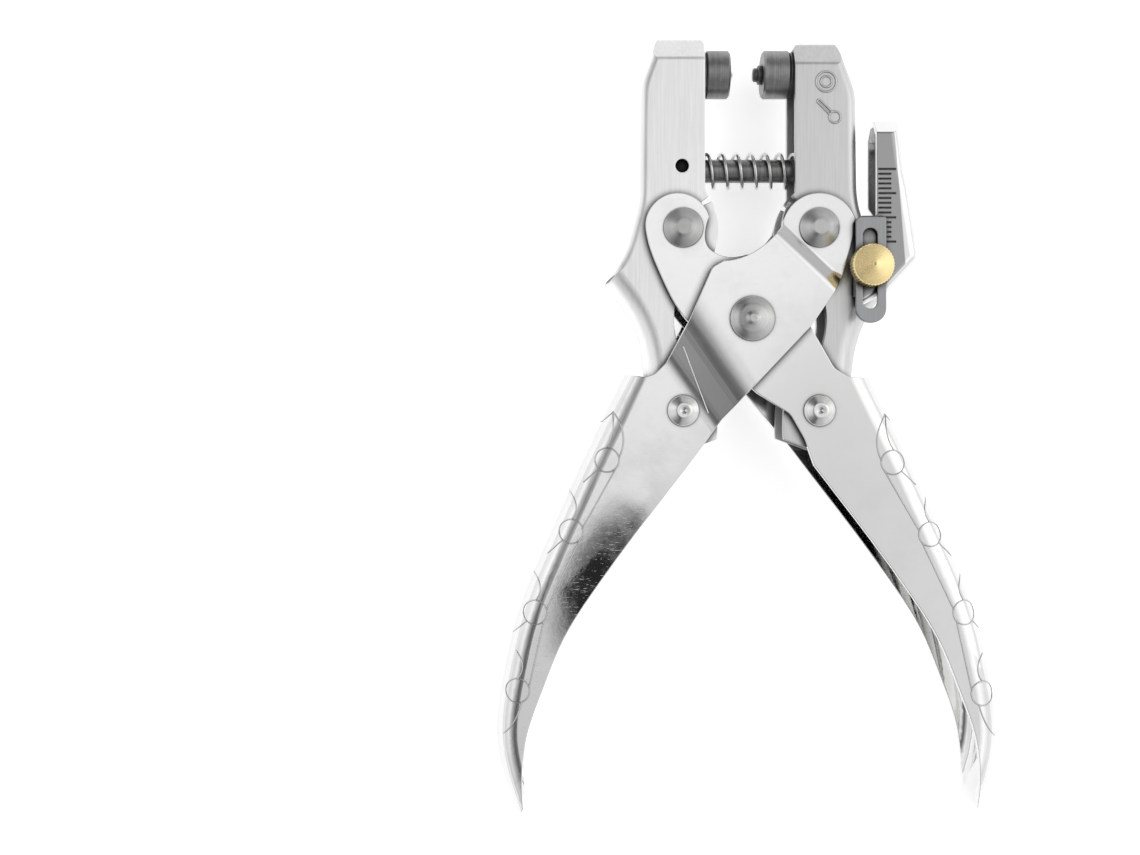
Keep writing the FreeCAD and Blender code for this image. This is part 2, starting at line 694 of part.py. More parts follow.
def tenon_slots():
    """The openings in the jaw's front plate that the bracket's tenons go through."""
    wide = bracket_sheet + 2 * tenon_ease
    long = tenon_length + 2 * tenon_ease
    return [
        Part.makeBox(wide, long, 2 * jaw_sheet, at(bracket_left - tenon_ease, low - tenon_ease, jaw_half - 1.5 * jaw_sheet))
        for low in tenon_lows]


def make_scale():
    """Sliding scale: a channel open towards the jaws, with a tongue under the slotted plate."""
    face = scale_face
    tongue_left = bracket_left + bracket_sheet + 0.1
    tongue_top = bracket_top + 0.4
    foot = 12.4               # the deep part of the web stops here, clear of the jaw's flare
    contour = [
        (bracket_left + 8.9, scale_top + 2), (bracket_left + 10.2, 33.4, 20.0), (bracket_left + 10.5, 31.0, 4.0),
        (bracket_left + 11.3, 27.5, 8.0), (bracket_left + 13.5, 12.6, 2.5), (bracket_left + 7.4, 6.0, 2.0),
        (bracket_left - 1.3, 1.0)]
    back = [(10.0, 1.0), (10.0, scale_top + 2)]
    sheet = folded_sheet(contour, back, scale_depth / 2, scale_sheet, 2.2)
    envelope = web_envelope(contour, back, scale_depth / 2, 2.2)
    lift = at(0, 0, face - scale_depth / 2)
    sheet.translate(lift)
    envelope.translate(lift)
    front = face_of(rounded([
        (scale_left, scale_top + 1), (scale_left, tongue_top, 0.5), (tongue_left, tongue_top, 0.5),
        (tongue_left, -4.0), (far, -4.0), (far, scale_top + 1)]))
    rear = face_of(rounded([
        (scale_left, scale_top + 1), (scale_left, 24.0, 0.8), (bracket_left + 10.3, 16.0),
        (bracket_left + 10.3, foot), (far, foot), (far, scale_top + 1)]))
    lip = jaw_half + 0.25
    cap_low, cap_high = face - scale_depth, face
    bevel = 3.1
    outline = side_profile([
        (-far, cap_high), (scale_top - bevel, cap_high, 0.6), (scale_top, cap_high - bevel, 0.8),
        (scale_top, cap_low + bevel, 0.8), (scale_top - bevel, cap_low, 0.6), (-far, cap_low)])
    hollow = side_profile([
        (-far, cap_high - scale_sheet), (scale_top - bevel - 0.5, cap_high - scale_sheet),
        (scale_top - scale_sheet, cap_high - bevel - 0.5), (scale_top - scale_sheet, cap_low + bevel + 0.5),
        (scale_top - bevel - 0.5, cap_low + scale_sheet), (-far, cap_low + scale_sheet)])
    upper = sheet.common(prism(front, lip, tall))
    lower = sheet.common(prism(rear, -tall, lip))
    cap_zone = Part.makeBox(far, far, 2 * tall, at(scale_left, scale_top - bevel - 1.0, -tall))
    cap = envelope.common(outline).common(cap_zone).cut(hollow)
    scale = fused(upper.common(outline), lower.common(outline), cap)
    marks = []
    for i in range(tick_count):
        length = tick_short if i % 5 else tick_long
        y = tick_start + i * tick_pitch
        marks.append(Part.makeBox(length, tick_width, 1.0, at(scale_left + 0.25, y, face - tick_depth)))
    scale = scale.cut(Part.makeCompound(marks))
    return scale.cut(rod(screw_radius + 0.02, screw_x, screw_y, 0, tall))


def make_thumb_screw():
    low = plate_top
    knob = turned([
        (0, low), (knob_radius - 0.4, low), (knob_radius, low + 0.4), (knob_radius, low + knob_height - 1.3),
        (knob_radius - 0.35, low + knob_height - 0.9), (0.35, low + knob_height - 0.1), (0, low + knob_height - 0.35)],
        at(screw_x, screw_y))
    grooves = []
    for i in range(knurl_count):
        angle = 2 * math.pi * i / knurl_count
        reach = knob_radius + 0.4 * knurl_radius
        groove = rod(knurl_radius, screw_x + reach * math.cos(angle), screw_y + reach * math.sin(angle), low - 1, tall)
        grooves.append(groove)
    knob = knob.cut(Part.makeCompound(grooves))
    return fused(knob, rod(screw_radius, screw_x, screw_y, scale_face - scale_sheet - nut_height, low + 1))


def make_nut():
    top = scale_face - scale_sheet
    corner = at(screw_x - nut_width / 3, screw_y - nut_length / 2, top - nut_height)
    block = Part.makeBox(nut_width, nut_length, nut_height, corner)
    return block.cut(rod(screw_radius + 0.02, screw_x, screw_y, 0, tall))


# ================================================================ assembly
right_jaw = make_jaw(right_outer, right_top)
left_jaw = mirrored(make_jaw(jaw_outer, jaw_top))
left_skin = web_envelope(jaw_web_corners(jaw_outer, jaw_top), jaw_back(jaw_top), jaw_half, jaw_bend)
right_skin = web_envelope(jaw_web_corners(right_outer, right_top), jaw_back(right_top), jaw_half, jaw_bend)
pin_x = -(jaw_inner + cross_pin_inset)
left_jaw = left_jaw.cut(rod(cross_pin_radius + 0.02, pin_x, rod_y, -tall, tall))
for tenon in tenon_slots():
    right_jaw = right_jaw.cut(tenon)
add("right_jaw", right_jaw)
add("left_jaw", left_jaw)
add("outer_handle", make_outer_handle())
add("inner_handle", make_inner_handle())

add("main_pivot_rivet", main_rivet())
add("left_jaw_pivot_rivet", lug_rivet(-pivot_x))
add("right_jaw_pivot_rivet", lug_rivet(pivot_x))
add("left_slide_pin", slide_rivet(-pivot_x))
add("right_slide_pin", slide_rivet(pivot_x))
add("main_pivot_sleeve", sleeve(main_shank + rivet_slip, sleeve_wall, handle_inside - 0.02, 0, 0))
add("left_pivot_sleeve", sleeve(lug_shank + rivet_slip, sleeve_wall, jaw_inside, -pivot_x, pivot_y))
add("right_pivot_sleeve", sleeve(lug_shank + rivet_slip, sleeve_wall, jaw_inside, pivot_x, pivot_y))

add("left_die", make_left_die(left_skin))
add("left_die_point", make_left_point())
add("right_die", make_right_die(right_skin))
add("setting_pin", make_setting_pin())
pin_spring_start = right_face + pin_seat + pin_collar_height + 0.04
add("setting_pin_spring", coil(pin_collar_radius - 0.1, pin_spring_wire, 1.5, pin_spring_start,
                               pin_spring_start + pin_spring_length, die_y))

rod_start = -(jaw_outer - jaw_sheet - 0.05)
guide_rod = turned([
    (0, 0), (rod_radius - 0.4, 0), (rod_radius, 0.4), (rod_radius, jaw_inner + rod_overlap - rod_start - 0.6),
    (rod_radius - 0.6, jaw_inner + rod_overlap - rod_start), (0, jaw_inner + rod_overlap - rod_start)],
    at(rod_start, rod_y), X)
cross_pin_half = jaw_half - cross_pin_recess
add("guide_rod", guide_rod.cut(rod(cross_pin_radius + 0.02, pin_x, rod_y, -tall, tall)))
add("guide_rod_pin", rod(cross_pin_radius, pin_x, rod_y, -cross_pin_half, cross_pin_half))
spring_start = pin_x + cross_pin_radius + 0.02
spring_end = right_outer - jaw_sheet - 0.05
add("return_spring", coil(spring_radius, spring_wire, spring_pitch, spring_start, spring_end, rod_y))

add("gauge_bracket", make_bracket())
add("gauge_scale", make_scale())
add("gauge_thumb_screw", make_thumb_screw())
add("gauge_nut", make_nut())

os.makedirs("parts", exist_ok=True)
for name, shape in nodes.items():
    box = shape.BoundBox
    print(f"{name:22s} solids {len(shape.Solids)} valid {shape.isValid()} volume {shape.Volume:9.2f}"
          f" x {box.XMin:7.2f} {box.XMax:7.2f} y {box.YMin:8.2f} {box.YMax:7.2f} z {box.ZMin:6.2f} {box.ZMax:6.2f}")
    shape.exportStep(os.path.join("parts", name + ".step"))
print(f"middle plane at z {mid_height:.3f}, closing angle {math.degrees(closing_angle):.4f} degrees a side")
print(f"setting pin travel {pin_travel:.3f}, thumb screw at {screw_x:.3f}, {screw_y:.3f}")
print(f"jaw rise {jaw_rise:.4f}, jaw travel {jaw_travel:.4f}, die axis y {die_y:.3f}")
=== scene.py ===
"""Parallel-action eyelet pliers: plated finishes, coiled springs, coined grip lines and a plain studio."""

import math

import bmesh
import bpy
import numpy as np
from bpy.props import FloatProperty, FloatVectorProperty, IntProperty, PointerProperty
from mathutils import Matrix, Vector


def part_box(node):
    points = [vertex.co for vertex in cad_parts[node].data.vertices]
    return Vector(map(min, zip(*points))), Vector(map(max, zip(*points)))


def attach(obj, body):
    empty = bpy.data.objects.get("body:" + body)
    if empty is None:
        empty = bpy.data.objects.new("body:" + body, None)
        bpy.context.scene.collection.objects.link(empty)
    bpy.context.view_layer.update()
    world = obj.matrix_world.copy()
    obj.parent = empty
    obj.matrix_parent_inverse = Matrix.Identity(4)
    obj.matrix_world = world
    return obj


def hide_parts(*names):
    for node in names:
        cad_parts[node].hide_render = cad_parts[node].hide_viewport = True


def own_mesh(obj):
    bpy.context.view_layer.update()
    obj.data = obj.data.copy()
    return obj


bl_info = {
    "name": "Eyelet Pliers",
    "version": (1, 0, 0),
    "blender": (4, 5, 0),
    "location": "3D View > Sidebar > Pliers",
    "description": "Finishes, springs and coined lines for parallel-action eyelet pliers",
    "category": "Object",
}

MM = 0.001
MID_HEIGHT = 11.0 * MM
SPRING_AXIS_Y = 32.1 * MM
DIE_AXIS_Y = 52.6 * MM

# The outer handle's lower crank: its bearing from the main pivot in degrees, and stations along that bearing.
CRANK_BEARING = 215.0
LEAD_IN_START = 5.33 * MM
FIRST_BEND = (12.33 * MM, 13.39 * MM)
SECOND_BEND = (16.91 * MM, 17.61 * MM)
LEAD_OUT_END = 20.51 * MM
# Heights of the four parts of the crank's bump, in millimetres.
LEAD_IN_FALL, FIRST_BEND_FALL, SECOND_BEND_FALL, LEAD_OUT_RISE = 1.05, 0.318, 0.105, 0.43
CREASE_LINE = ((-14.2 * MM, -5.6 * MM), (-8.9 * MM, -19.6 * MM))

# Lines are laid on a CAD node from this height, which is above the whole tool.
DROP_HEIGHT = 0.04

# Centres of the rings on the two grips in millimetres, from the top one down.
LEFT_RINGS = [(-29.9, -29.2), (-37.35, -44.0), (-44.8, -60.8), (-48.45, -77.0)]
RIGHT_RINGS = [(-29.4, -29.7), (-37.2, -44.6), (-44.3, -60.8), (-48.05, -77.6)]

# The gauge's graduated face: its level, and its free edge as a point and the lean from there.
SCALE_FACE_Z = 19.6 * MM
SCALE_EDGE_POINT = (29.5 * MM, 38.9 * MM)
SCALE_EDGE_LEAN = 0.080

# The gauge's graduation lines and the ink in them, in millimetres. Every fifth line is a long one.
LINE_COUNT = 16
FIRST_LINE_Y = 15.925
LINE_START_X = 26.07
SHORT_LINE, LONG_LINE = 2.7, 3.7
LINE_DEPTH = 0.10
INK_DEPTH = 0.05
INK_END_GAP = 0.04

# Finishes of the steel pieces: CAD node, roughness and level of the steel's colour. The levels hold painted
# light and shade as well as each piece's own tone: like pieces, such as the two jaw pivot rivets and the two
# dies, are lighter and darker copies of one steel.
RIVET_FINISHES_AND_LIGHT = (
    ("main_pivot_rivet", 0.26, 1.1),
    ("left_jaw_pivot_rivet", 0.28, 0.95),
    ("right_jaw_pivot_rivet", 0.28, 1.05),
    ("left_slide_pin", 0.16, 1.5),
    ("right_slide_pin", 0.16, 1.5),
    ("main_pivot_sleeve", 0.3, 0.8),
    ("left_pivot_sleeve", 0.3, 0.8),
    ("right_pivot_sleeve", 0.3, 0.8),
    ("guide_rod_pin", 0.5, 0.05),
    ("gauge_nut", 0.3, 0.8))
DIE_FINISHES_AND_LIGHT = (
    ("left_die", 0.34, 1.0),
    ("right_die", 0.34, 1.15),
    ("setting_pin", 0.36, 0.6),
    ("left_die_point", 0.12, 2.6),
    ("guide_rod", 0.26, 0.95))

# The surroundings: levels from -X to +X and from -Y to +Y, multiplied. Stops are (place from 0 to 1, level).
SIDEWAYS_STOPS = [
    (0.0, 0.75), (0.13, 1.00), (0.20, 0.62), (0.27, 0.36), (0.35, 0.12), (0.41, 0.24), (0.47, 0.70),
    (0.54, 0.80), (0.60, 0.76), (0.68, 0.90), (0.80, 1.30), (1.0, 0.85)]
ENDWAYS_STOPS = [
    (0.0, 0.7), (0.2, 0.6), (0.34, 0.95), (0.5, 1.05), (0.60, 1.25), (0.70, 1.15), (0.80, 0.42), (1.0, 0.7)]
# A dark oval patch nearly overhead: its middle, its half widths, and how much of the light it takes.
PATCH_X, PATCH_Y = 0.026, -0.112
PATCH_HALF_WIDTH, PATCH_HALF_LENGTH = 0.032, 0.066
PATCH_SHARE = 0.97
# The white below turns into the panels above between these heights of the unit direction.
PANELS_START, PANELS_FULL = 0.24, 0.32

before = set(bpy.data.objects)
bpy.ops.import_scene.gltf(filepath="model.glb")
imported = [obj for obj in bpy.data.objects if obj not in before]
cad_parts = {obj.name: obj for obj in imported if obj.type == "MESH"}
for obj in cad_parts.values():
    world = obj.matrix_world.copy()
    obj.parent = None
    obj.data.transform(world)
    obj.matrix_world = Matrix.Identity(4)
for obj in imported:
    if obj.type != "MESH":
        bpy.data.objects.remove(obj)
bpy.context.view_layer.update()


# ------------------------------------------------------------------ sizes and colours
def length_property(name, description, default):
    return FloatProperty(name=name, description=description, default=default, min=0.0, precision=5,
                         unit="LENGTH", subtype="DISTANCE")


def colour_property(name, description, default):
    return FloatVectorProperty(name=name, description=description, default=default, size=3, min=0.0, max=1.0,
                               subtype="COLOR")


def share_property(name, description, default):
    return FloatProperty(name=name, description=description, default=default, min=0.0, max=1.0,
                         subtype="FACTOR")


class PliersSprings(bpy.types.PropertyGroup):
    """Sizes of the two coil springs."""

    return_radius: length_property("Return radius", "Outer radius of the return spring", 3.925 * MM)
    return_wire: length_property("Return wire", "Wire thickness of the return spring", 0.75 * MM)
    return_pitch: length_property("Return pitch", "Distance between turns of the return spring", 3.03 * MM)
    pin_radius: length_property("Pin spring radius", "Outer radius of the setting pin's spring", 2.5 * MM)
    pin_wire: length_property("Pin spring wire", "Wire thickness of the setting pin's spring", 0.6 * MM)
    pin_pitch: length_property("Pin spring pitch", "Distance between turns of the pin's spring", 1.5 * MM)
    sides: IntProperty(name="Wire sides", description="Faces round a wire", default=14, min=6, max=48)


class PliersLines(bpy.types.PropertyGroup):
    """Sizes of the coined lines, the jaw mark and the ink in the graduations."""

    grip_line: length_property("Grip line", "Half width of the lines on the grips", 0.13 * MM)
    ring_radius: length_property("Grip ring", "Radius of the rings on the grips", 2.5 * MM)
    mark_line: length_property("Jaw mark line", "Half width of the lines of the jaw's mark", 0.20 * MM)
    crease: length_property("Crease", "Half width of the crease across the crank", 0.16 * MM)
    ink_width: length_property("Ink width", "Width of the ink in a graduation line", 0.31 * MM)


class PliersColours(bpy.types.PropertyGroup):
    """Colours and gloss of the finishes."""

    nickel: colour_property(
        "Bright nickel", "Polished plate of the handles and the gauge", (0.80, 0.80, 0.795))
    satin: colour_property("Satin nickel", "Ground plate of the jaws", (0.78, 0.78, 0.775))
    rivet: colour_property("Rivet steel", "Turned heads of the rivets", (0.50, 0.50, 0.495))
    tool_steel: colour_property("Tool steel", "Dies, setting pin and guide rod", (0.26, 0.26, 0.26))
    wire: colour_property("Spring wire", "Drawn wire of the springs", (0.72, 0.72, 0.71))
    slot_plate: colour_property("Slotted plate", "Grey plate of the gauge bracket", (0.36, 0.365, 0.37))
    brass: colour_property("Brass", "Thumb screw", (0.93, 0.74, 0.38))
    ink: colour_property("Ink", "Graduation lines", (0.03, 0.03, 0.03))
    nickel_roughness: share_property("Nickel roughness", "Gloss of the polished plate", 0.13)
    satin_roughness: share_property("Satin roughness", "Gloss of the ground plate", 0.36)


class PliersStudio(bpy.types.PropertyGroup):
    """Camera, lamps and floor."""

    camera_place: FloatVectorProperty(
        name="Camera place", description="Where the camera stands above the tool",
        default=(-37.56 * MM, -22.46 * MM, 294.3 * MM), size=3, subtype="TRANSLATION")
    lens: FloatProperty(name="Lens", description="Focal length in millimetres", default=41.99, min=1.0)
    key_power: FloatProperty(
        name="Key lamp", description="Power of the large lamp in watts", default=0.09, min=0.0)
    side_power: FloatProperty(
        name="Side lamp", description="Power of the side lamp in watts", default=0.08, min=0.0)
    floor_colour: colour_property("Floor", "Colour of the floor", (0.86, 0.86, 0.86))
    floor_lift: share_property("Floor lift", "Extra white of the floor as seen, directly or in metal", 0.62)


# ------------------------------------------------------------------ shader maths
class Wire:
    """A shader socket that takes part in Python arithmetic. An expression on values adds Math nodes."""

    def __init__(self, bench, socket):
        self.bench = bench
        self.socket = socket

    def maths(self, operation, *values):
        return self.bench.node("ShaderNodeMath", {"operation": operation}, dict(enumerate(values)))

    def __add__(self, other):
        return self.maths("ADD", self, other)

    def __sub__(self, other):
        return self.maths("SUBTRACT", self, other)

    def __rsub__(self, other):
        return self.maths("SUBTRACT", other, self)

    def __mul__(self, other):
        return self.maths("MULTIPLY", self, other)

    def __truediv__(self, other):
        return self.maths("DIVIDE", self, other)

    def __pow__(self, other):
        return self.maths("POWER", self, other)

    __radd__ = __add__


class Bench:
    """The node tree of one material or of the world."""

    def __init__(self, owner):
        owner.use_nodes = True
        self.tree = owner.node_tree
        self.tree.nodes.clear()

    def node(self, kind, settings=None, inputs=None, output=0):
        """Adds a node: its settings first, then the values or links of its sockets. Returns one output."""
        made = self.tree.nodes.new(kind)
        for name, value in (settings or {}).items():
            if name == "stops":
                self.set_stops(made.color_ramp, value)
            else:
                setattr(made, name, value)
        for name, value in (inputs or {}).items():
            if isinstance(value, Wire):
                self.tree.links.new(value.socket, made.inputs[name])
            else:
                made.inputs[name].default_value = value
        return Wire(self, made.outputs[output]) if made.outputs else None

    def set_stops(self, ramp, stops):
        while len(ramp.elements) < len(stops):
            ramp.elements.new(0.5)
        for element, (position, level) in zip(ramp.elements, stops):
            element.position = position
            element.color = (level, level, level, 1.0)

    def place(self):
        """Object coordinates, and the same split into x, y and z."""
        coordinates = self.node("ShaderNodeTexCoord", output="Object")
        split = self.tree.nodes.new("ShaderNodeSeparateXYZ")
        self.tree.links.new(coordinates.socket, split.inputs[0])
        return coordinates, [Wire(self, socket) for socket in split.outputs]

    def together(self, x, y, z):
        return self.node("ShaderNodeCombineXYZ", None, {"X": x, "Y": y, "Z": z})

    def stretched(self, coordinates, scale, turn=(0.0, 0.0, 0.0)):
        return self.node("ShaderNodeMapping", None, {"Vector": coordinates, "Scale": scale, "Rotation": turn})

    def noise(self, vector, scale, detail=3.0, roughness=0.5):
        return self.node("ShaderNodeTexNoise", None, {
            "Vector": vector, "Scale": scale, "Detail": detail, "Roughness": roughness})

    def step(self, value, low, high):
        """0 below low, 1 above high and smooth between them."""
        return self.node("ShaderNodeMapRange", {"interpolation_type": "SMOOTHSTEP"}, {
            "Value": value, "From Min": low, "From Max": high})

    def blend(self, factor, first, second):
        """A colour between two others."""
        mixed = self.tree.nodes.new("ShaderNodeMix")
        mixed.data_type = "RGBA"
        for index, value in ((0, factor), (6, first), (7, second)):
            if isinstance(value, Wire):
                self.tree.links.new(value.socket, mixed.inputs[index])
            else:
                mixed.inputs[index].default_value = value
        return Wire(self, mixed.outputs[2])

    def bump(self, height, strength, distance, normal=None):
        sockets = {"Height": height, "Strength": strength, "Distance": distance}
        if normal:
            sockets["Normal"] = normal
        return self.node("ShaderNodeBump", None, sockets)

    def softened(self, radius):
        """A normal that rounds the edges within a radius."""
        return self.node("ShaderNodeBevel", {"samples": 8}, {"Radius": radius})

    def crease_shade_mask(self, reach):
        """Mask for painted shade in creases: 0 in a crease, where the colour is darkened as shade, and 1
        where nothing stands within reach.
        """
        nearness = self.node("ShaderNodeAmbientOcclusion", {"samples": 12}, {"Distance": reach}, "AO")
        return self.step(nearness, 0.45, 0.96)

    def along(self, parts, bearing):
        """Distance from the main pivot along a bearing in degrees."""
        return parts[0] * math.cos(math.radians(bearing)) + parts[1] * math.sin(math.radians(bearing))

    def rolled_crank(self, parts, normal):
        """Leads the plate smoothly into the lower crank and out of it, by a bump in millimetres of height.

        The slope grows evenly before the first bend and fades over it, then the same the other way round."""
        run = self.along(parts, CRANK_BEARING)
        lead_in = self.share_of(run, LEAD_IN_START, FIRST_BEND[0])
        first_bend = self.share_of(run, *FIRST_BEND)
        second_bend = self.share_of(run, *SECOND_BEND)
        lead_out = 1.0 - self.share_of(run, SECOND_BEND[1], LEAD_OUT_END)
        fading = first_bend - first_bend * first_bend * 0.5
        fall = lead_in * lead_in * LEAD_IN_FALL + fading * FIRST_BEND_FALL
        height = lead_out * lead_out * LEAD_OUT_RISE - fall - second_bend * second_bend * SECOND_BEND_FALL
        return self.bump(height, 1.0, MM, normal)

    def scale_face(self, parts):
        """1 on the gauge's graduated face: above its level, and inside an edge that leans out to its foot."""
        edge_x, edge_y = SCALE_EDGE_POINT
        edge = (edge_y - parts[1]) * SCALE_EDGE_LEAN + edge_x
        inside = self.step(edge - parts[0], -0.15 * MM, 0.15 * MM)
        return inside * self.step(parts[2], SCALE_FACE_Z, SCALE_FACE_Z + 0.1 * MM)

    def share_of(self, value, low, high):
        """0 below low, 1 above high and even between them."""
        return self.node("ShaderNodeMapRange", None, {"Value": value, "From Min": low, "From Max": high})

    def surface(self, colour, roughness, normal=None, metallic=1.0):
        sockets = {"Base Color": colour, "Roughness": roughness, "Metallic": metallic}
        if normal:
            sockets["Normal"] = normal
        shader = self.node("ShaderNodeBsdfPrincipled", None, sockets)
        self.node("ShaderNodeOutputMaterial", None, {"Surface": shader})


def toned(colour, level):
    """A colour made lighter or darker by a factor."""
    return [channel * level for channel in colour]


def opaque(colour, level=1.0):
    """A colour at a level, with full alpha."""
    return (*toned(colour, level), 1.0)


def new_material(name):
    material = bpy.data.materials.new(name)
    return material, Bench(material)


def paint(material, *nodes):
    """Puts a material on CAD nodes."""
    for name in nodes:
        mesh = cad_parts[name].data
        mesh.materials.clear()
        mesh.materials.append(material)


# ------------------------------------------------------------------ finishes
def ground_plate(name, colour, roughness, seed):
    """Satin plate ground along Y: fine streaks in tone, gloss and height, cloudy patches, a few nicks and
    painted shade in creases.
    """
    material, bench = new_material(name)
    place, _ = bench.place()
    unshaded_share = bench.crease_shade_mask(2.0 * MM)
    streaks = bench.noise(bench.stretched(place, (9000.0, 160.0, 9000.0)), 1.0, 4.0, 0.6)
    coarse = bench.noise(bench.stretched(place, (1800.0, 60.0, 1800.0)), 1.0, 3.0, 0.55)
    clouds = bench.noise(bench.stretched(place, (90.0, 45.0, 90.0), (0.0, 0.0, seed)), 1.0, 4.0, 0.6)
    grain = bench.noise(place, 14000.0, 2.0, 0.5)
    tone = streaks * 0.34 + coarse * 0.36 + clouds * 0.3
    shade = bench.blend(bench.step(tone, 0.36, 0.64), opaque(colour, 0.92), opaque(colour, 1.05))
    # Painted shade: the colour darkens to near black in creases, where other parts stand close.
    shade = bench.blend(unshaded_share, opaque(colour, 0.08), shade)
    gloss = roughness - 0.10 + streaks * 0.10 + clouds * 0.12
    height = streaks * 0.55 + coarse * 0.3 + grain * 0.15
    bench.surface(shade, gloss, bench.bump(height, 0.16, 0.05 * MM, bench.softened(0.30 * MM)))
    return material


def polished_plate(name, colour, roughness, turn, cranked=False, darkened_face=False):
    """Bright plate: slow ripples, faint cloudy handling marks, two families of hairline scratches and painted
    shade in creases.
    """
    material, bench = new_material(name)
    place, parts = bench.place()
    unshaded_share = bench.crease_shade_mask(2.2 * MM)
    ripple = bench.noise(place, 42.0, 2.0, 0.5)
    orange = bench.noise(place, 900.0, 3.0, 0.55)
    clouds = bench.noise(place, 120.0, 4.0, 0.65)
    hair = bench.noise(bench.stretched(place, (420.0, 7000.0, 420.0), (0.0, 0.0, turn)), 1.0, 2.0, 0.6)
    cross = bench.noise(bench.stretched(place, (500.0, 9000.0, 500.0), (0.0, 0.0, turn + 1.1)), 1.0, 2.0, 0.6)
    where = bench.step(bench.noise(place, 60.0, 2.0, 0.5), 0.46, 0.62)
    scratches = bench.step(hair, 0.66, 0.74) * where + bench.step(cross, 0.68, 0.76) * (1.0 - where) * 0.7
    worn = bench.step(clouds, 0.40, 0.72)
    rubbed = bench.step(0.0 - parts[1], 26.0 * MM, 42.0 * MM)
    shade = bench.blend(worn * 0.3 + scratches * 0.7, opaque(colour, 1.0), opaque(colour, 0.86))
    # The gauge's graduated face is painted darker than the rest of the plate.
    if darkened_face:
        shade = bench.blend(bench.scale_face(parts), shade, opaque(colour, 0.42))
    # Painted shade: the colour darkens to near black in creases, where other parts stand close.
    shade = bench.blend(unshaded_share, opaque(colour, 0.05), shade)
    gloss = roughness - 0.02 + worn * 0.06 + scratches * 0.12
    height = ripple * 0.35 + orange * 0.010 - scratches * 0.012
    rounded = bench.softened(0.30 * MM)
    if cranked:
        rounded = bench.rolled_crank(parts, rounded)
    bench.surface(shade, gloss - rubbed * 0.09, bench.bump(height, 0.35, 0.5 * MM, rounded))
    return material


def turned_metal(name, colour, roughness, centre, axis, rings=9000.0, bands=0.2, groove=0.0015 * MM):
    """Lathe-turned metal: fine rings about an axis through a centre, from the distance to it and along it.
    Creases get painted shade.
    """
    material, bench = new_material(name)
    place, parts = bench.place()
    across = [index for index in range(3) if index != axis]
    first = parts[across[0]] - centre[across[0]]
    second = parts[across[1]] - centre[across[1]]
    distance = (first * first + second * second) ** 0.5
    along = parts[axis] - centre[axis]
    fine = bench.noise(bench.together(distance * rings, along * rings, 0.0), 1.0, 3.0, 0.6)
    broad = bench.noise(bench.together(distance * rings * 0.2, along * rings * 0.2, 3.0), 1.0, 2.0, 0.5)
    marks = bench.noise(place, 700.0, 4.0, 0.65)
    tone = fine * 0.4 + broad * 0.3 + marks * 0.3
    dull, bright = opaque(colour, 1.0 - bands * 0.5), opaque(colour, 1.0 + bands * 0.3)
    shade = bench.blend(bench.step(tone, 0.36, 0.64), dull, bright)
    # Painted shade: the colour darkens in creases, where other parts stand close.
    shade = bench.blend(bench.crease_shade_mask(1.2 * MM), opaque(colour, 0.25), shade)
    gloss = roughness - 0.06 + fine * 0.08 + marks * 0.10
    turns = distance.maths("SINE", distance * (2.0 * math.pi / (0.09 * MM)))
    bench.surface(shade, gloss, bench.bump(turns, 1.0, groove, bench.softened(0.15 * MM)))
    return material


def drawn_wire(name, colour):
    """Spring wire: bright, with faint lengthwise tone and pitting."""
    material, bench = new_material(name)
    place, _ = bench.place()
    pits = bench.noise(place, 3000.0, 3.0, 0.6)
    slow = bench.noise(place, 300.0, 2.0, 0.5)
    tone = pits * 0.5 + slow * 0.5
    shade = bench.blend(bench.step(tone, 0.38, 0.62), opaque(colour, 0.8), opaque(colour, 1.05))
    bench.surface(shade, 0.16 + pits * 0.12, bench.bump(pits, 0.10, 0.03 * MM))
    return material


def paint_film(name, colour):
    """Matt ink with a slightly uneven edge tone."""
    material, bench = new_material(name)
    place, _ = bench.place()
    uneven = bench.noise(place, 4000.0, 3.0, 0.6)
    shade = bench.blend(uneven, opaque(colour, 0.6), opaque(colour, 1.6))
    bench.surface(shade, 0.45 + uneven * 0.2, None, 0.0)
    return material


# ------------------------------------------------------------------ surfaces
def swept(path, first, second, radius, sides, closed=False):
    """A round bar carried along a path: path + radius (cos a * first + sin a * second).

    Open bars get a point at each end, where the radius shrinks to nothing."""
    radii = np.full(len(path), radius)
    if not closed:
        path = np.concatenate([path[:1], path, path[-1:]])
        first = np.concatenate([first[:1], first, first[-1:]])
        second = np.concatenate([second[:1], second, second[-1:]])
        radii = np.concatenate([[0.0], radii, [0.0]])
    angle = np.linspace(0.0, 2.0 * math.pi, sides, endpoint=False)[None, :, None]
    ring = np.cos(angle) * first[:, None, :] + np.sin(angle) * second[:, None, :]
    points = path[:, None, :] + radii[:, None, None] * ring
    return points, closed


def grid_quads(rows, columns, closed, offset):
    """Corner numbers of the faces between neighbouring rows and columns, the columns always closed."""
    last = rows if closed else rows - 1
    row = np.arange(last)[:, None]
    column = np.arange(columns)[None, :]
    following = (row + 1) % rows
    beside = (column + 1) % columns
    corners = [row * columns + column, row * columns + beside, following * columns + beside,
               following * columns + column]
    return offset + np.stack([c.ravel() for c in corners], axis=1)


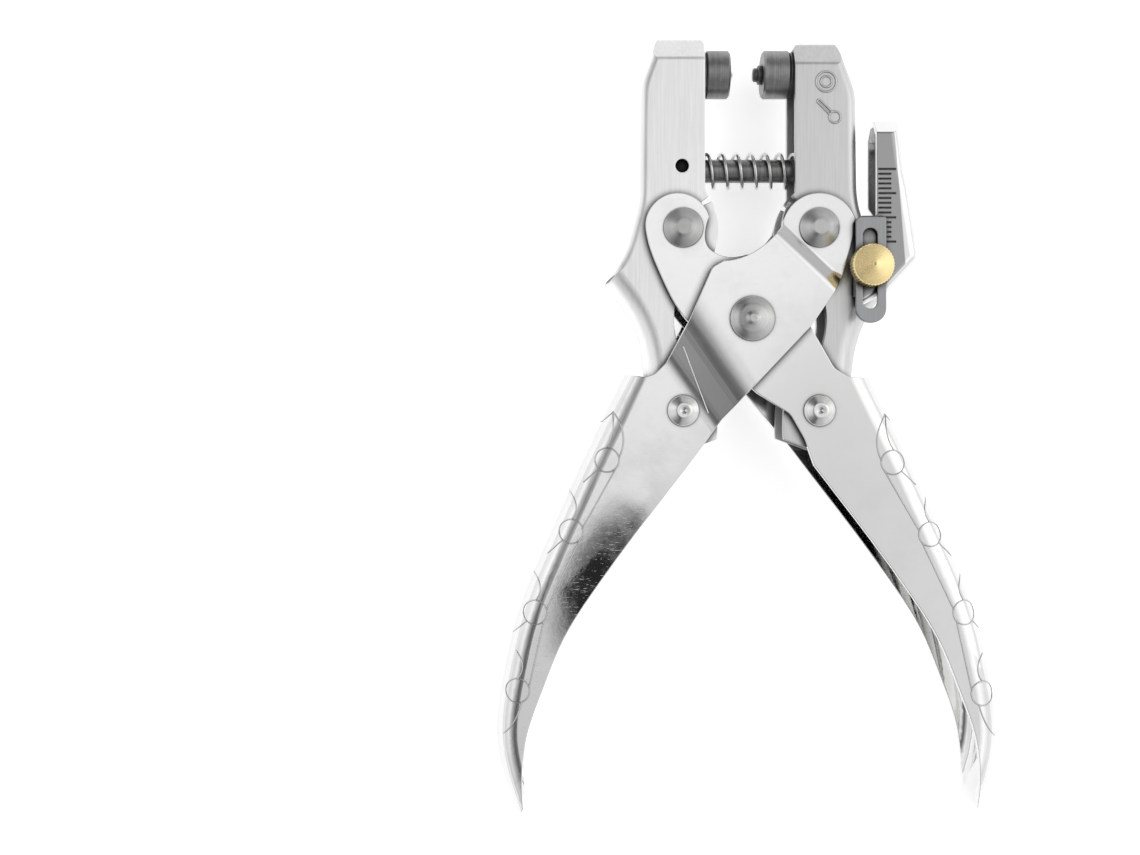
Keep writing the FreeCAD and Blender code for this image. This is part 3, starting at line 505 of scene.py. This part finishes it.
def make_piece(name, surfaces, material, body):
    """One object from several swept surfaces, its doubled points merged and its faces turned outwards."""
    points, faces, offset = [], [], 0
    for grid, closed in surfaces:
        rows, columns = grid.shape[:2]
        points.append(grid.reshape(-1, 3))
        faces.append(grid_quads(rows, columns, closed, offset))
        offset += rows * columns
    mesh = bpy.data.meshes.new(name)
    mesh.from_pydata(np.concatenate(points).tolist(), [], np.concatenate(faces).tolist())
    work = bmesh.new()
    work.from_mesh(mesh)
    bmesh.ops.remove_doubles(work, verts=work.verts, dist=1e-7)
    bmesh.ops.recalc_face_normals(work, faces=work.faces)
    work.to_mesh(mesh)
    work.free()
    mesh.polygons.foreach_set("use_smooth", np.ones(len(mesh.polygons), dtype=bool))
    mesh.materials.append(material)
    piece = bpy.data.objects.new(name, mesh)
    bpy.context.scene.collection.objects.link(piece)
    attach(piece, body)
    return piece


def coil(start, end, radius, wire, pitch, top, axis_y, sides, steps_per_turn=40, end_turns=0.9, easing=0.35):
    """A compression spring along X. The angle t runs evenly and x is the running sum of the local pitch.

    The local pitch is the wire's own thickness in the end turns and pitch between them. The line is
    x(t), axis + mean radius * cos t in Y and mean radius * sin t in Z; t is a whole turn at x = top."""
    mean = radius - wire / 2.0
    reach = end - start - 1.02 * wire
    close = 1.03 * wire
    turns = 2.0 + (reach - 2.0 * close) / pitch
    count = int(turns * steps_per_turn)
    share = np.linspace(0.0, turns, count)
    ease = np.clip((np.minimum(share, turns - share) - end_turns) / easing, 0.0, 1.0)
    local = close + (pitch - close) * ease * ease * (3.0 - 2.0 * ease)
    run = np.concatenate([[0.0], np.cumsum((local[1:] + local[:-1]) / 2.0) * (turns / (count - 1))])
    x = start + 0.51 * wire + run * reach / run[-1]
    angle = 2.0 * math.pi * (share - np.interp(top, x, share))
    radial = np.stack([np.zeros(count), np.cos(angle), np.sin(angle)], axis=1)
    path = mean * radial + np.stack([x, np.full(count, axis_y), np.full(count, MID_HEIGHT)], axis=1)
    heading = np.gradient(path, axis=0)
    heading /= np.linalg.norm(heading, axis=1, keepdims=True)
    return swept(path, radial, np.cross(heading, radial), wire / 2.0, sides)


def arc_points(centre, radius, start, end, count):
    """Points of a circle's arc, from an angle to another in degrees."""
    angle = np.radians(np.linspace(start, end, count))
    return np.stack([centre[0] + radius * np.cos(angle), centre[1] + radius * np.sin(angle)], axis=1)


def circle(centre, radius, count):
    """Points all the way round a circle, the first one not repeated."""
    return arc_points(centre, radius, 0.0, 360.0, count + 1)[:-1]


def bow(start, control, end, count=24):
    """A quadratic curve: (1 - t)^2 start + 2 t (1 - t) control + t^2 end."""
    t = np.linspace(0.0, 1.0, count)[:, None]
    return (1.0 - t) ** 2 * np.array(start) + 2.0 * t * (1.0 - t) * np.array(control) + t ** 2 * np.array(end)


def straight(start, end, count=24):
    return bow(start, (np.array(start) + np.array(end)) / 2.0, end, count)


def laid_on(node, line):
    """The line's points dropped straight down onto a CAD node. Points that miss it are left out."""
    mesh = bpy.data.meshes.new("guide")
    raised = np.column_stack([line, np.full(len(line), DROP_HEIGHT)])
    mesh.from_pydata(raised.tolist(), [], [])
    guide = bpy.data.objects.new("guide", mesh)
    bpy.context.scene.collection.objects.link(guide)
    drop = guide.modifiers.new("drop", "SHRINKWRAP")
    drop.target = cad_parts[node]
    drop.wrap_method = "PROJECT"
    drop.use_project_z = True
    drop.use_negative_direction = True
    drop.use_positive_direction = False
    shape = guide.evaluated_get(bpy.context.evaluated_depsgraph_get()).to_mesh()
    points = np.empty(len(line) * 3)
    shape.vertices.foreach_get("co", points)
    bpy.data.objects.remove(guide)
    bpy.data.meshes.remove(mesh)
    points = points.reshape(-1, 3)
    return points[points[:, 2] < DROP_HEIGHT - MM]


def on_the_back(points):
    """The same points mirrored to the back face of the tool."""
    return points * np.array([1.0, 1.0, -1.0]) + np.array([0.0, 0.0, 2.0 * MID_HEIGHT])


def bead(points, radius, closed=False, sides=8):
    """A thin round bead along points on a surface, half sunk in it. Its section stands square to the line."""
    if closed:
        heading = np.roll(points, -1, axis=0) - np.roll(points, 1, axis=0)
    else:
        heading = np.gradient(points, axis=0)
    heading /= np.linalg.norm(heading, axis=1, keepdims=True)
    level = np.cross(heading, np.array([0.0, 0.0, 1.0]))
    level /= np.linalg.norm(level, axis=1, keepdims=True)
    return swept(points, level, np.cross(level, heading), radius, sides, closed)


def grip_pattern(centres, side, radius):
    """Rings down a grip, with leaves above them, spurs to the outer edge and a line along the bend.

    Offsets from each ring's centre are in millimetres for a left grip; side mirrors them."""
    def off(centre, x, y):
        return (side * (centre[0] + x) * MM, (centre[1] + y) * MM)

    lines = []
    for index, centre in enumerate(centres):
        lines.append((circle(off(centre, 0.0, 0.0), radius, 60), True))
        if index:
            lines.append((bow(off(centre, -0.3, 8.2), off(centre, 2.2, 5.2), off(centre, 0.1, 2.5)), False))
            before = centres[index - 1]
            lines.append((straight(off(before, 1.8, -1.8), off(centre, 2.4, 0.7), 40), False))
        if index < len(centres) - 1:
            lines.append((straight(off(centre, -1.8, -1.8), off(centre, -4.9, -4.6)), False))
    head, foot = centres[0], centres[-1]
    lines.append((bow(off(head, 1.3, 10.0), off(head, 4.8, 5.2), off(head, 2.45, 0.4)), False))
    lines.append((bow(off(head, 1.2, 9.8), off(head, 1.7, 5.0), off(head, -0.3, 2.5)), False))
    lines.append((straight(off(head, 1.3, 10.0), off(head, -1.6, 7.4)), False))
    lines.append((bow(off(foot, 0.9, -2.3), off(foot, -0.4, -7.2), off(foot, -3.0, -9.0)), False))
    return lines


# ------------------------------------------------------------------ operators
class PLIERS_OT_handles(bpy.types.Operator):
    """Bright plate on the two handles"""

    bl_idname = "pliers.handles"
    bl_label = "Handles"

    def execute(self, context):
        colours = context.scene.pliers_colours
        gloss = colours.nickel_roughness
        paint(polished_plate("outer_nickel", colours.nickel, gloss, -0.35, cranked=True), "outer_handle")
        paint(polished_plate("inner_nickel", colours.nickel, gloss, 0.35), "inner_handle")
        return {"FINISHED"}


class PLIERS_OT_jaws(bpy.types.Operator):
    """Satin ground plate on the two jaws, painted lighter on the left jaw and darker on the right as light
    and shade
    """

    bl_idname = "pliers.jaws"
    bl_label = "Jaws"

    def execute(self, context):
        colours = context.scene.pliers_colours
        # Painted light and shade: the same satin is made lighter for the left jaw and darker for the right,
        # as lit and shaded copies.
        bright = toned(colours.satin, 1.2)
        paint(ground_plate("left_satin", bright, colours.satin_roughness, 0.0), "left_jaw")
        painted_shaded_satin = toned(colours.satin, 0.86)
        paint(ground_plate("right_satin", painted_shaded_satin, colours.satin_roughness, 0.8), "right_jaw")
        return {"FINISHED"}


class PLIERS_OT_rivets(bpy.types.Operator):
    """Turned steel on the rivets, slide pins, sleeves and the guide rod's cross pin"""

    bl_idname = "pliers.rivets"
    bl_label = "Rivets and pins"

    def execute(self, context):
        colours = context.scene.pliers_colours
        for name, roughness, level in RIVET_FINISHES_AND_LIGHT:
            low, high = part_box(name)
            # The level paints light and shade on the piece as well as setting its own tone.
            colour = toned(colours.rivet, level)
            paint(turned_metal(name + "_steel", colour, roughness, (low + high) / 2.0, 2), name)
        return {"FINISHED"}


class PLIERS_OT_dies(bpy.types.Operator):
    """Dark turned tool steel on the dies, the setting pin and the guide rod"""

    bl_idname = "pliers.dies"
    bl_label = "Dies and guide rod"

    def execute(self, context):
        colours = context.scene.pliers_colours
        for name, roughness, level in DIE_FINISHES_AND_LIGHT:
            low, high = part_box(name)
            middle = (low + high) / 2.0
            # The level paints light and shade on the piece as well as setting its own tone.
            colour = toned(colours.tool_steel, level)
            paint(turned_metal(name + "_steel", colour, roughness, middle, 0, rings=5000.0, bands=0.6), name)
        return {"FINISHED"}


class PLIERS_OT_gauge(bpy.types.Operator):
    """Grey slotted plate, polished scale and turned brass screw of the gauge"""

    bl_idname = "pliers.gauge"
    bl_label = "Gauge"

    def execute(self, context):
        colours = context.scene.pliers_colours
        paint(ground_plate("slot_plate_grey", colours.slot_plate, 0.34, 0.3), "gauge_bracket")
        paint(polished_plate("scale_nickel", colours.nickel, 0.17, 0.0, darkened_face=True), "gauge_scale")
        low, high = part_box("gauge_thumb_screw")
        middle = (low + high) / 2.0
        brass = turned_metal("turned_brass", colours.brass, 0.24, middle, 2, rings=6000.0, groove=0.0018 * MM)
        paint(brass, "gauge_thumb_screw")
        return {"FINISHED"}


class PLIERS_OT_springs(bpy.types.Operator):
    """Return spring on the guide rod and the setting pin's spring"""

    bl_idname = "pliers.springs"
    bl_label = "Springs"

    def execute(self, context):
        sizes = context.scene.pliers_springs
        bright = drawn_wire("bright_wire", context.scene.pliers_colours.wire)
        start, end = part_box("return_spring")[0].x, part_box("return_spring")[1].x
        turns = coil(start, end, sizes.return_radius, sizes.return_wire, sizes.return_pitch, -5.5 * MM,
                     SPRING_AXIS_Y, sizes.sides)
        spring = make_piece("return_coil", [turns], bright, "left_jaw")
        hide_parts("return_spring")
        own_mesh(spring)
        start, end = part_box("setting_pin_spring")[0].x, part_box("setting_pin_spring")[1].x
        turns = coil(start, end, sizes.pin_radius, sizes.pin_wire, sizes.pin_pitch, start,
                     DIE_AXIS_Y, sizes.sides)
        spring = make_piece("pin_coil", [turns], bright, "right_jaw")
        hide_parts("setting_pin_spring")
        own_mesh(spring)
        return {"FINISHED"}


class PLIERS_OT_grip_lines(bpy.types.Operator):
    """Coined rings, leaves and lines along the bend of both grips, front and back"""

    bl_idname = "pliers.grip_lines"
    bl_label = "Grip lines"

    def execute(self, context):
        sizes = context.scene.pliers_lines
        colours = context.scene.pliers_colours
        for name, node, body, centres, side in (
                ("left_grip_lines", "outer_handle", "outer_lever", LEFT_RINGS, 1.0),
                ("right_grip_lines", "inner_handle", "inner_lever", RIGHT_RINGS, -1.0)):
            surfaces = []
            for line, closed in grip_pattern(centres, side, sizes.ring_radius):
                front = laid_on(node, line)
                whole = closed and len(front) == len(line)
                surfaces.append(bead(front, sizes.grip_line, whole))
                surfaces.append(bead(on_the_back(front), sizes.grip_line, whole))
            material = polished_plate(name + "_nickel", toned(colours.nickel, 0.8), 0.2, 0.0)
            make_piece(name, surfaces, material, body)
        return {"FINISHED"}


class PLIERS_OT_crank_crease(bpy.types.Operator):
    """A fine raised crease across the lower crank of the outer handle, front and back"""

    bl_idname = "pliers.crank_crease"
    bl_label = "Crank crease"

    def execute(self, context):
        colours = context.scene.pliers_colours
        front = laid_on("outer_handle", straight(*CREASE_LINE, 60))
        material = polished_plate("crease_nickel", colours.nickel, 0.16, 0.0)
        crease = context.scene.pliers_lines.crease
        surfaces = [bead(front, crease), bead(on_the_back(front), crease)]
        make_piece("crank_crease", surfaces, material, "outer_lever")
        return {"FINISHED"}


class PLIERS_OT_jaw_mark(bpy.types.Operator):
    """A plain mark on the right jaw: an eyelet's ring and a setting pin"""

    bl_idname = "pliers.jaw_mark"
    bl_label = "Jaw mark"

    def execute(self, context):
        sizes = context.scene.pliers_lines
        colours = context.scene.pliers_colours
        ring = (15.8 * MM, 49.6 * MM)
        knob = (17.6 * MM, 42.2 * MM)
        tip = (14.3 * MM, 45.5 * MM)
        half_shank = 0.35 * MM
        towards_tip = np.array([-0.7071, 0.7071])
        beside = half_shank * np.array([0.7071, 0.7071])
        neck = np.array(knob) + 1.15 * MM * towards_tip
        lines = [
            (circle(ring, 2.1 * MM, 48), True),
            (circle(ring, 1.15 * MM, 36), True),
            (circle(knob, 1.2 * MM, 36), True),
            (straight(neck + beside, np.array(tip) + beside), False),
            (straight(neck - beside, np.array(tip) - beside), False),
            (arc_points(tip, half_shank, 45.0, 225.0, 12), False),
        ]
        surfaces = [bead(laid_on("right_jaw", line), sizes.mark_line, closed) for line, closed in lines]
        satin = ground_plate("mark_satin", toned(colours.satin, 0.85), 0.3, 0.1)
        make_piece("jaw_mark", surfaces, satin, "right_jaw")
        return {"FINISHED"}


class PLIERS_OT_scale_ink(bpy.types.Operator):
    """Dark ink in the graduation lines of the gauge"""

    bl_idname = "pliers.scale_ink"
    bl_label = "Graduation ink"

    def execute(self, context):
        half = context.scene.pliers_lines.ink_width / 2.0
        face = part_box("gauge_scale")[1].z - LINE_DEPTH * MM
        top = INK_DEPTH * MM
        profile = np.array([[half, 0.0], [half, top], [-half, top], [-half, 0.0]])
        shrink = np.array([0.0, 1.0, 1.0, 0.0])[:, None]
        start = LINE_START_X * MM
        surfaces = []
        for index in range(LINE_COUNT):
            length = (SHORT_LINE if index % 5 else LONG_LINE) * MM
            end = start + length - INK_END_GAP * MM
            grid = np.empty((4, 4, 3))
            grid[:, :, 0] = np.array([start, start, end, end])[:, None]
            grid[:, :, 1] = (FIRST_LINE_Y + index) * MM + profile[None, :, 0] * shrink
            grid[:, :, 2] = face + profile[None, :, 1] * shrink
            surfaces.append((grid, False))
        ink = paint_film("black_ink", context.scene.pliers_colours.ink)
        make_piece("scale_ink", surfaces, ink, "gauge_slide")
        return {"FINISHED"}


class PLIERS_OT_studio(bpy.types.Operator):
    """White floor, soft lamps, pale surroundings and the camera"""

    bl_idname = "pliers.studio"
    bl_label = "Studio"

    def execute(self, context):
        studio = context.scene.pliers_studio
        self.add_floor(studio)
        self.add_surroundings(context.scene)
        self.add_lamp("key_lamp", place=(-0.11, 0.10, 0.75), size=0.45, power=studio.key_power)
        self.add_lamp("side_lamp", place=(0.60, 0.05, 0.35), size=0.30, power=studio.side_power)
        eye = bpy.data.cameras.new("studio_camera")
        eye.sensor_width = 36.0
        eye.lens = studio.lens
        eye.clip_start = 0.01
        camera = bpy.data.objects.new("studio_camera", eye)
        camera.location = studio.camera_place
        context.scene.collection.objects.link(camera)
        context.scene.camera = camera
        context.scene.view_settings.view_transform = "Standard"
        return {"FINISHED"}

    def add_floor(self, studio):
        """A wide floor that looks white away from the shadow, both directly and in metal."""
        half = 3.0
        mesh = bpy.data.meshes.new("floor")
        mesh.from_pydata([(-half, -half, 0.0), (half, -half, 0.0), (half, half, 0.0), (-half, half, 0.0)], [],
                         [(0, 1, 2, 3)])
        material, bench = new_material("white_floor")
        kinds = [bench.node("ShaderNodeLightPath", output=f"Is {kind} Ray")
                 for kind in ("Camera", "Glossy", "Transmission")]
        seen = kinds[0].maths("MAXIMUM", kinds[0].maths("MAXIMUM", kinds[0], kinds[1]), kinds[2])
        matt = bench.node("ShaderNodeBsdfDiffuse", None, {"Color": opaque(studio.floor_colour)})
        glow = bench.node("ShaderNodeEmission", None, {
            "Color": opaque((1.0, 1.0, 1.0)), "Strength": seen * studio.floor_lift})
        both = bench.node("ShaderNodeAddShader", None, {0: matt, 1: glow})
        bench.node("ShaderNodeOutputMaterial", None, {"Surface": both})
        mesh.materials.append(material)
        floor = bpy.data.objects.new("floor", mesh)
        bpy.context.scene.collection.objects.link(floor)

    def add_surroundings(self, scene):
        """White low down, all the way round. Overhead it has soft light and grey panels and a dark patch."""
        world = bpy.data.worlds.new("studio_room")
        scene.world = world
        bench = Bench(world)
        direction = bench.node("ShaderNodeTexCoord", output="Generated")
        split = bench.tree.nodes.new("ShaderNodeSeparateXYZ")
        bench.tree.links.new(direction.socket, split.inputs[0])
        x, y, z = [Wire(bench, socket) for socket in split.outputs]
        sideways = bench.node("ShaderNodeValToRGB", {"stops": SIDEWAYS_STOPS}, {"Fac": x * 0.5 + 0.5})
        endways = bench.node("ShaderNodeValToRGB", {"stops": ENDWAYS_STOPS}, {"Fac": y * 0.5 + 0.5})
        across = ((x - PATCH_X) * 0.9 - (y - PATCH_Y) * 0.45) / PATCH_HALF_WIDTH
        down = ((x - PATCH_X) * 0.45 + (y - PATCH_Y) * 0.9) / PATCH_HALF_LENGTH
        patch = 1.0 - bench.step((across * across + down * down) ** 0.5, 0.50, 1.20)
        level = sideways * endways * (1.0 - patch * PATCH_SHARE)
        overhead = bench.step(z, PANELS_START, PANELS_FULL)
        strength = overhead * level + (1.0 - overhead)
        light = bench.node("ShaderNodeBackground", None, {
            "Color": opaque((1.0, 1.0, 1.0)), "Strength": strength})
        bench.node("ShaderNodeOutputWorld", None, {"Surface": light})

    def add_lamp(self, name, place, size, power):
        """A square soft lamp that faces the middle of the tool."""
        lamp = bpy.data.lights.new(name, "AREA")
        lamp.energy = power
        lamp.size = size
        holder = bpy.data.objects.new(name, lamp)
        holder.location = place
        holder.rotation_euler = (-holder.location).to_track_quat("-Z", "Y").to_euler()
        bpy.context.scene.collection.objects.link(holder)


class PLIERS_PT_panel(bpy.types.Panel):
    """Lists the pieces and their sizes"""

    bl_idname = "PLIERS_PT_panel"
    bl_label = "Eyelet pliers"
    bl_space_type = "VIEW_3D"
    bl_region_type = "UI"
    bl_category = "Pliers"

    def draw(self, context):
        for operator in OPERATORS:
            self.layout.operator(operator.bl_idname)
        for group in GROUPS:
            settings = getattr(context.scene, group)
            for name in settings.bl_rna.properties.keys():
                if name not in ("rna_type", "name"):
                    self.layout.prop(settings, name)


OPERATORS = [
    PLIERS_OT_handles, PLIERS_OT_jaws, PLIERS_OT_rivets, PLIERS_OT_dies, PLIERS_OT_gauge, PLIERS_OT_springs,
    PLIERS_OT_grip_lines, PLIERS_OT_crank_crease, PLIERS_OT_jaw_mark, PLIERS_OT_scale_ink, PLIERS_OT_studio]
GROUPS = {
    "pliers_springs": PliersSprings, "pliers_lines": PliersLines, "pliers_colours": PliersColours,
    "pliers_studio": PliersStudio}


def register():
    for kind in [*GROUPS.values(), *OPERATORS, PLIERS_PT_panel]:
        bpy.utils.register_class(kind)
    for name, kind in GROUPS.items():
        setattr(bpy.types.Scene, name, PointerProperty(type=kind))


def unregister():
    for name in GROUPS:
        delattr(bpy.types.Scene, name)
    for kind in [PLIERS_PT_panel, *reversed(OPERATORS), *reversed(GROUPS.values())]:
        bpy.utils.unregister_class(kind)


def corners(box):
    return [[float(value) for value in corner] for corner in box]


def main():
    register()
    for operator in OPERATORS:
        group, name = operator.bl_idname.split(".")
        getattr(getattr(bpy.ops, group), name)()


if __name__ == "__main__":
    main()
